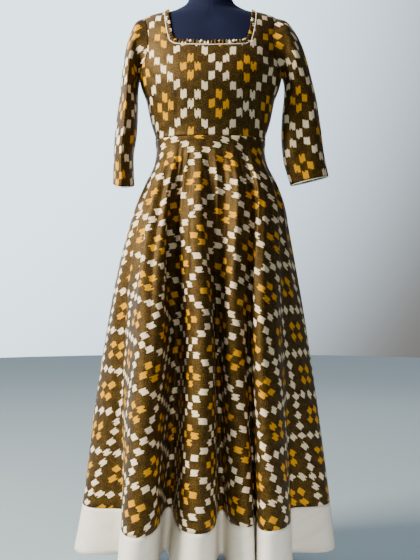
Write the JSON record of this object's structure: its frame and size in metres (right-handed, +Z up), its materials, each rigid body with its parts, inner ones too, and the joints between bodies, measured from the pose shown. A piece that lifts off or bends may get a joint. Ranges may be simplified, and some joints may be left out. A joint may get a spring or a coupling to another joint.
{
  "type": "anarkali gown on a dress form",
  "caption": "Floor-length fitted gown in ikat cotton with a flared umbrella skirt and a pale hem band, standing on a limbless dress form.",
  "frame": {"origin": "middle of the underside of the form's base, on the floor", "axes": "+Z up; the front of the gown faces -Y; the wearer's left is +X"},
  "size_m": [0.6563, 0.5554, 1.5],
  "materials": {
    "ikat_cotton": "matt handwoven cotton, olive-brown ground with cream and golden ikat blocks",
    "cream_cotton": "matt plain-woven off-white cotton",
    "form_cover": "matt navy knit stretched over the form",
    "black_steel": "black powder coat"
  },
  "bodies": {
    "root": {"bodice_front": "ikat_cotton", "bodice_back_left": "ikat_cotton", "bodice_back_right": "ikat_cotton", "sleeve_left": "ikat_cotton", "sleeve_right": "ikat_cotton", "skirt_front": "ikat_cotton", "skirt_back": "ikat_cotton", "hem_band_front": "cream_cotton", "hem_band_back": "cream_cotton", "neck_frill": "ikat_cotton", "neck_piping": "cream_cotton", "cuff_piping_left": "cream_cotton", "cuff_piping_right": "cream_cotton", "form_torso": "form_cover", "form_pole": "black_steel", "form_base": "black_steel"}
  },
  "joints": []
}
